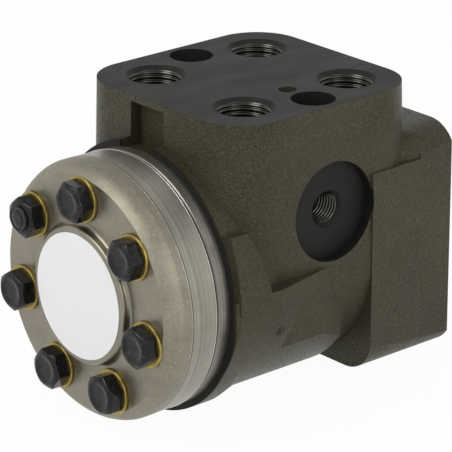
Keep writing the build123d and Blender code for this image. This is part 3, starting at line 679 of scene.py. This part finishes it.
class STEERING_OT_threads(bpy.types.Operator):
    """Cut threads into the ports and the column screw holes."""

    bl_idname = "steering.threads"
    bl_label = "Threads"

    def execute(self, context):
        look = context.scene.steering_threads
        steel = ground_steel_finish("thread_crests", (0.075, 0.072, 0.066), 0.22)
        port_foot = mount_size("port_column_right", "length_mm") + 0.1 * MM
        port_lead_in = 1.4 * MM
        side_foot_x = 27.6 * MM
        side_lead_in = 0.4 * MM
        flange_foot = 15.5 * MM
        flange_length = 15.0 * MM
        flange = mounts["column_screws"]["dims"]
        corners = np.radians((45, 135, 225, 315))
        directions = np.stack((np.cos(corners), np.zeros(4), np.sin(corners)), axis=-1)
        flange_holes = directions * flange["pcd_mm"] / 2 * MM
        sets = (
            ("port_threads", [mount_point(n) * (1, 1, 0) + (0, 0, port_top_z - port_foot)
                              for n in port_names],
             (0, 0, 1), port_foot - port_lead_in, mount_size(port_names[0], "r_mm"),
             look.main_pitch),
            ("side_port_thread", [side_port * (0, 1, 1) + (side_foot_x, 0, 0)], (1, 0, 0),
             mount_size("load_sensing_port", "length_mm") - side_lead_in,
             mount_size("load_sensing_port", "r_mm"), look.side_pitch),
            ("flange_threads", flange_holes - (0, flange_foot, 0), (0, 1, 0), flange_length,
             flange["hole_r_mm"] * MM, look.flange_pitch),
        )
        for name, centres, axis, length, radius, pitch in sets:
            rings = thread_lining(centres, axis, length, radius, pitch,
                                  look.depth_share * pitch, look.steps_per_turn,
                                  look.steps_per_pitch)
            piece = new_piece(name, rings, "housing", steel, closed_rows=True)
        return {"FINISHED"}


def crown_rows(look, stepped):
    """Radii and heights over the middle of a head: a raised disc, or a shallow dish."""
    top = look.head_height
    if stepped:
        # shares of the disc's radius and height: a flat, a ring groove, a flat, a round edge
        disc = ((0.4, 1.0), (0.66, 1.0), (0.70, 0.82), (0.78, 0.82), (0.82, 1.0), (0.95, 1.0),
                (0.985, 0.94), (1.0, 0.85), (1.0, 0.0))
        return [(s * look.step_radius, top + h * look.step_height) for s, h in disc]
    lip = 1.06
    dish_steps = 8
    dish_power = 6
    shares = np.linspace(0.0, 1.0, dish_steps + 1)[1:]
    rises = shares ** dish_power
    return [(s * look.dish_radius * lip, top - look.dish_depth * (1 - r))
            for s, r in zip(shares, rises)]


def screw_rows(look, ends, stepped):
    """Radii and heights of a screw, from the middle of the head to the tip.

    Heights count from the head's underside. Where a radius is wider than the hexagon, the
    screw takes the hexagon's shape. The chamfer's rows drop with the tangent of its angle.
    """
    flat_border = 0.15 * MM
    chamfer_rows = 9
    chamfer_step = 0.27 * MM
    edge_drop = 0.04 * MM
    foot = 0.3 * MM
    foot_edge = 0.1 * MM
    foot_share = 0.985
    neck_length = 0.3 * MM
    tip_length = 0.6 * MM
    top = look.head_height
    slope = tan(look.chamfer_angle)
    wide = 2 * look.across_flats
    rows = crown_rows(look, stepped)
    rows.append((look.flat_radius - flat_border, top))
    for n in range(chamfer_rows):
        reach = look.flat_radius + n * chamfer_step
        rows.append((reach, top - slope * (reach - look.flat_radius)
                     - (edge_drop if n == 0 else 0.0)))
    low = rows[-1][1]
    rows += [(wide, low + (foot - low) * t) for t in (0.15, 0.4, 0.7, 1.0)]
    rows += [(wide, foot_edge), (look.across_flats / 2 * foot_share, 0.0),
             (look.shank_radius, 0.0)]
    shank_end, thread_end, tip_radius = ends
    rows += [(look.shank_radius, -shank_end), (look.thread_radius, -shank_end - neck_length),
             (look.thread_radius, -thread_end + tip_length), (tip_radius, -thread_end)]
    return np.array(rows).T


def hexagon_screws(look, centres, turns, head_y, ends, stepped):
    """Rings of whole hexagon screws.

    At angle u a ring's radius is the smaller of its own round radius and the hexagon's
    apothem / cos(u folded into one sixth), rounded where the two meet.
    """
    corner_trim = 0.12 * MM
    edge_round = look.corner_round * 0.6
    u = once_round(144)
    folded = (u + pi / 6) % (pi / 3) - pi / 6
    apothem = look.across_flats / 2
    hexagon = smooth_least(apothem / np.cos(folded), apothem / cos(pi / 6) - corner_trim,
                           look.corner_round)
    radii, heights = screw_rows(look, ends, stepped)
    shape = smooth_least(radii[:, None] + 0 * u, hexagon[None, :] + 0 * radii[:, None],
                         edge_round)
    copies = []
    for (x, z), turn in zip(centres, turns):
        ring = along_cover(shape, u[None, :] + turn, heights[:, None] + 0 * u, head_y)
        copies.append(ring + (x, 0, z))
    return np.stack(copies)


class STEERING_OT_screws(bpy.types.Operator):
    """Make the cover screws with turned corners and dished heads."""

    bl_idname = "steering.screws"
    bl_label = "Cover screws"

    def execute(self, context):
        look = context.scene.steering_screws
        oxide = black_oxide_finish("black_oxide", look.oxide_colour, look.wear_colour)
        centres = screw_places()
        # a tightened head stops at any angle, so each has its own
        turns = np.radians((12, 5, 22, 48, 10, 35, 25))
        head_y = washer_face_y
        shank_end = gear_face_y - head_y
        check_end = check_tip_y - head_y
        screw_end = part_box("cover_screws")[1][1] - head_y
        for name, part, ends, stepped in (
            ("check_valve_screw", slice(0, 1), (shank_end, check_end, 1.5 * MM), True),
            ("cover_screw_set", slice(1, screw_count), (shank_end, screw_end, 3.0 * MM), False),
        ):
            rings = hexagon_screws(look, centres[part], turns[part], head_y, ends, stepped)
            piece = new_piece(name, rings, "housing", oxide, caps=(True, True))
            sharpen_by_angle(piece, 50)
            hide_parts("check_screw" if stepped else "cover_screws")
        return {"FINISHED"}


class STEERING_OT_washers(bpy.types.Operator):
    """Make the thin yellow washers with rounded rims."""

    bl_idname = "steering.washers"
    bl_label = "Washers"

    def execute(self, context):
        look = context.scene.steering_screws
        thickness = washer_seat_y - washer_face_y
        outer = 8.1 * MM
        inner = 4.3 * MM
        rim_power = 0.25
        face_power = 0.45
        u = once_round(96)[None, :]
        w = once_round(40)[:, None]
        # a superellipse section: signed powers of the cosine and sine
        across = np.sign(np.cos(w)) * np.abs(np.cos(w)) ** rim_power
        along = np.sign(np.sin(w)) * np.abs(np.sin(w)) ** face_power
        radii = (outer + inner) / 2 + across * (outer - inner) / 2
        heights = thickness / 2 * (1 + along)
        ring = along_cover(radii + 0 * u, u + 0 * w, heights + 0 * u, washer_seat_y)
        centres = np.insert(screw_places(), 1, 0.0, axis=1)
        rings = centres[:, None, None, :] + ring[None]
        piece = new_piece("washer_set", rings, "housing", zinc_finish(look.zinc_colour),
                          closed_rows=True)
        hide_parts("cover_washers")
        return {"FINISHED"}


class STEERING_OT_gear_end(bpy.types.Operator):
    """Give the end cover, gear ring and plate their turned and ground steel."""

    bl_idname = "steering.gear_end"
    bl_label = "Gear end finishes"

    def execute(self, context):
        look = context.scene.steering_steel
        dress_node("end_cover", turned_steel_finish("turned_cover", look, look.cover_colour))
        dress_node("gear_ring", turned_steel_finish("ground_ring", look, look.ring_colour, False))
        dress_node("distribution_plate",
                   turned_steel_finish("ground_plate", look, look.plate_colour, False))
        dress_node("rating_label", label_finish(look.label_colour))
        return {"FINISHED"}


class STEERING_OT_seams(bpy.types.Operator):
    """Draw dark rings of painted shade in the gaps, and bright edges, where the discs of the gear
    end meet.
    """

    bl_idname = "steering.seams"
    bl_label = "Gap shade and edges"

    def execute(self, context):
        look = context.scene.steering_steel
        u = once_round(192)[None, :]
        w = once_round(12)[:, None]
        inset = 0.3 * MM
        reach = 0.35 * MM
        edge_shift = 0.45 * MM
        edge_half_width = 0.12 * MM
        ring_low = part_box("gear_ring")[0][1]
        plate_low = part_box("distribution_plate")[0][1]
        # painted shade: this dark matt ring stands in for the shadow in the gap between two discs;
        # the rubber finish only gives it a matt skin
        dark = rubber_finish("painted_gap_shade", tuple(look.gap_shade_colour))
        bright = ground_steel_finish("edge_break", (0.62, 0.60, 0.55), 0.2)
        for name, shift, half, material in (
            ("painted_gap_shades", 0.0, look.gap_shade_width / 2, dark),
            ("bright_edges", edge_shift, edge_half_width, bright),
        ):
            # an ellipse carried round the spool axis: half is its half width along the axis,
            # and reach its half width across
            levels = np.array((ring_low, plate_low))[:, None, None] - shift
            radii = look.seam_radius - inset + reach * np.cos(w) + 0 * u
            heights = half * np.sin(w) + 0 * u
            ring = along_cover(radii, u + 0 * w, -heights, 0.0)
            rings = ring[None] + levels[..., None] * np.array((0.0, 1.0, 0.0))
            piece = new_piece(name, rings, "housing", material, closed_rows=True)
        return {"FINISHED"}


class STEERING_OT_spotface(bpy.types.Operator):
    """Round the foot of the side port's spotface."""

    bl_idname = "steering.spotface"
    bl_label = "Spotface foot"

    def execute(self, context):
        look = context.scene.steering_housing
        wall_gap = 0.03 * MM
        foot_width = 2.6 * MM
        foot_height = 2.4 * MM
        floor_lift = 0.04 * MM
        floor_sink = 0.05 * MM
        tuck = 0.1 * MM
        outer = look.spotface_radius - wall_gap
        floor_x = side_port[0]
        u = once_round(128)[None, :]
        # a concave quarter ellipse from the floor up to the wall, closed along the wall and
        # under the floor
        t = np.linspace(0.0, pi / 2, 14)
        radius = np.concatenate((outer - foot_width * (1 - np.sin(t)),
                                 (outer, outer - (foot_width + tuck))))
        height = np.concatenate((foot_height * (1 - np.cos(t)) + floor_lift,
                                 (-floor_sink, -floor_sink)))
        ring = np.stack((floor_x + height[:, None] + 0 * u,
                         side_port[1] + radius[:, None] * np.cos(u),
                         side_port[2] + radius[:, None] * np.sin(u)), axis=-1)
        piece = new_piece("spotface_foot", ring[None], "housing",
                          ground_steel_finish("spotface_steel", (0.07, 0.068, 0.062), 0.24),
                          closed_rows=True)
        return {"FINISHED"}


class STEERING_OT_valve(bpy.types.Operator):
    """Give the pieces inside and in the side bores their finishes."""

    bl_idname = "steering.valve"
    bl_label = "Inner finishes"

    def execute(self, context):
        ground = ground_steel_finish("ground_steel", (0.52, 0.52, 0.53), 0.25)
        polished = ground_steel_finish("polished_balls", (0.75, 0.75, 0.76), 0.08)
        spring = ground_steel_finish("spring_steel", (0.20, 0.21, 0.24), 0.3)
        plug = ground_steel_finish("plug_steel", (0.05, 0.048, 0.045), 0.32)
        rubber = rubber_finish()
        for material, names in (
            (ground, ("sleeve", "spool", "cross_pin", "cardan_shaft", "gear_wheel", "spacer",
                      "spring_ring", "bearing_outer_race", "bearing_inner_race",
                      "bearing_cage", "thread_bushing", "suction_pins", "shock_seats")),
            (polished, ("bearing_rollers", "check_ball", "suction_ball_left",
                        "suction_ball_right", "shock_ball_left", "shock_ball_right")),
            (spring, ("centring_springs", "shock_springs")),
            (plug, ("shock_plugs",)),
            (rubber, ("dust_seal", "shaft_seal", "plate_seal", "ring_seal", "cover_seal")),
        ):
            for name in names:
                dress_node(name, material)
        return {"FINISHED"}


# ---------------------------------------------------------------- stage
def white_to_camera(name, colour, share):
    """Matt surface whose share glows white for the camera and for reflections.

    Other rays see it matt only, and what doesn't glow takes a faint shadow.
    """
    material = bpy.data.materials.new(name)
    material.use_nodes = True
    tree = material.node_tree
    tree.nodes.clear()
    out = tree.nodes.new("ShaderNodeOutputMaterial")
    blend = tree.nodes.new("ShaderNodeMixShader")
    matt = tree.nodes.new("ShaderNodeBsdfDiffuse")
    glow = tree.nodes.new("ShaderNodeEmission")
    path = tree.nodes.new("ShaderNodeLightPath")
    seen = tree.nodes.new("ShaderNodeMath")
    seen.operation = "MAXIMUM"
    scale = tree.nodes.new("ShaderNodeMath")
    scale.operation = "MULTIPLY"
    scale.inputs[1].default_value = share
    matt.inputs["Color"].default_value = (*colour, 1.0)
    glow.inputs["Color"].default_value = (1.0, 1.0, 1.0, 1.0)
    tree.links.new(path.outputs["Is Camera Ray"], seen.inputs[0])
    tree.links.new(path.outputs["Is Glossy Ray"], seen.inputs[1])
    tree.links.new(seen.outputs[0], scale.inputs[0])
    tree.links.new(scale.outputs[0], blend.inputs["Fac"])
    tree.links.new(matt.outputs[0], blend.inputs[1])
    tree.links.new(glow.outputs[0], blend.inputs[2])
    tree.links.new(blend.outputs[0], out.inputs["Surface"])
    return material


def area_lamp(name, place, target, size, power):
    """Rectangular soft lamp that faces the target."""
    data = bpy.data.lights.new(name, "AREA")
    data.shape = "RECTANGLE"
    data.size, data.size_y = size
    data.energy = power
    lamp = bpy.data.objects.new(name, data)
    lamp.location = place
    lamp.rotation_euler = (Vector(target) - Vector(place)).to_track_quat("-Z", "Y").to_euler()
    bpy.context.scene.collection.objects.link(lamp)


class STEERING_OT_stage(bpy.types.Operator):
    """Set up the camera, the pale floor and backdrop, and the soft lamps."""

    bl_idname = "steering.stage"
    bl_label = "Stage"

    def execute(self, context):
        look = context.scene.steering_stage
        scene = context.scene
        scene.view_settings.view_transform = "Standard"

        side = Vector(look.camera_side).normalized()
        back = Vector(look.camera_back).normalized()
        up = back.cross(side)
        turn = Matrix((side, up, back)).transposed().to_4x4()
        lens = bpy.data.cameras.new("studio_camera")
        lens.lens = look.focal_length
        lens.clip_end = 50.0
        camera = bpy.data.objects.new("studio_camera", lens)
        camera.matrix_world = Matrix.Translation(Vector(look.camera_place)) @ turn
        scene.collection.objects.link(camera)
        scene.camera = camera

        # floor that sweeps up into a round backdrop: rings about the object, then a rise
        glow_share = 0.96
        floor_z = cad_box[0][2]
        half = look.floor_size / 2
        radii = np.array((0.4, 0.7, 1.0, 1.03, 1.06, 1.08, 1.09, 1.09)) * half
        rise = np.array((0.0, 0.0, 0.0, 0.01, 0.04, 0.09, 0.2, 0.9)) * half
        u = once_round(96)[None, :]
        ring = np.stack((radii[:, None] * np.cos(u), radii[:, None] * np.sin(u),
                         floor_z + rise[:, None] + 0 * u), axis=-1)
        material = white_to_camera("pale_floor", tuple(look.floor_colour), glow_share)
        floor = new_piece("floor", ring[None, ::-1], "housing", material, caps=(False, True))
        # the stage stays put when the bodies move
        floor.parent = None

        middle = (0.0, (cad_box[0][1] + cad_box[1][1]) / 2, 0.01)
        for name, place, size, power in (
            ("key_lamp", (-0.15, -1.15, 0.95), (0.8, 0.8), look.key_power),
            ("fill_lamp", (1.3, -0.1, 0.55), (0.9, 0.9), look.fill_power),
            ("top_lamp", (0.1, 0.35, 1.2), (1.0, 0.4), look.top_power),
        ):
            area_lamp(name, place, middle, size, power)

        world = bpy.data.worlds.new("studio_walls")
        world.use_nodes = True
        tree = world.node_tree
        walls = tree.nodes["Background"]
        walls.inputs["Color"].default_value = (1.0, 1.0, 1.0, 1.0)
        path = tree.nodes.new("ShaderNodeLightPath")
        level = tree.nodes.new("ShaderNodeMapRange")
        level.inputs["To Min"].default_value = look.world_strength
        level.inputs["To Max"].default_value = 1.0
        tree.links.new(path.outputs["Is Camera Ray"], level.inputs["Value"])
        tree.links.new(level.outputs["Result"], walls.inputs["Strength"])
        scene.world = world
        return {"FINISHED"}


piece_operators = (
    STEERING_OT_housing,
    STEERING_OT_webs,
    STEERING_OT_threads,
    STEERING_OT_screws,
    STEERING_OT_washers,
    STEERING_OT_gear_end,
    STEERING_OT_seams,
    STEERING_OT_spotface,
    STEERING_OT_valve,
    STEERING_OT_stage,
)


class STEERING_PT_panel(bpy.types.Panel):
    """Buttons and settings of the steering unit."""

    bl_label = "Steering Unit"
    bl_idname = "STEERING_PT_panel"
    bl_space_type = "VIEW_3D"
    bl_region_type = "UI"
    bl_category = "Steering Unit"

    def draw(self, context):
        for operator in piece_operators:
            self.layout.operator(operator.bl_idname)
        for key, group in setting_groups.items():
            box = self.layout.box()
            for name in group.__annotations__:
                box.prop(getattr(context.scene, key), name)


def register():
    """Register the classes and hang the settings on the scene."""
    for group in setting_groups.values():
        bpy.utils.register_class(group)
    for operator in piece_operators:
        bpy.utils.register_class(operator)
    bpy.utils.register_class(STEERING_PT_panel)
    for key, group in setting_groups.items():
        setattr(bpy.types.Scene, key, bpy.props.PointerProperty(type=group))


def unregister():
    """Undo register."""
    for key in setting_groups:
        delattr(bpy.types.Scene, key)
    bpy.utils.unregister_class(STEERING_PT_panel)
    for operator in reversed(piece_operators):
        bpy.utils.unregister_class(operator)
    for group in reversed(list(setting_groups.values())):
        bpy.utils.unregister_class(group)


def main():
    """Build every piece in order."""
    register()
    for operator in piece_operators:
        family, action = operator.bl_idname.split(".")
        getattr(getattr(bpy.ops, family), action)()


if __name__ == "__main__":
    main()
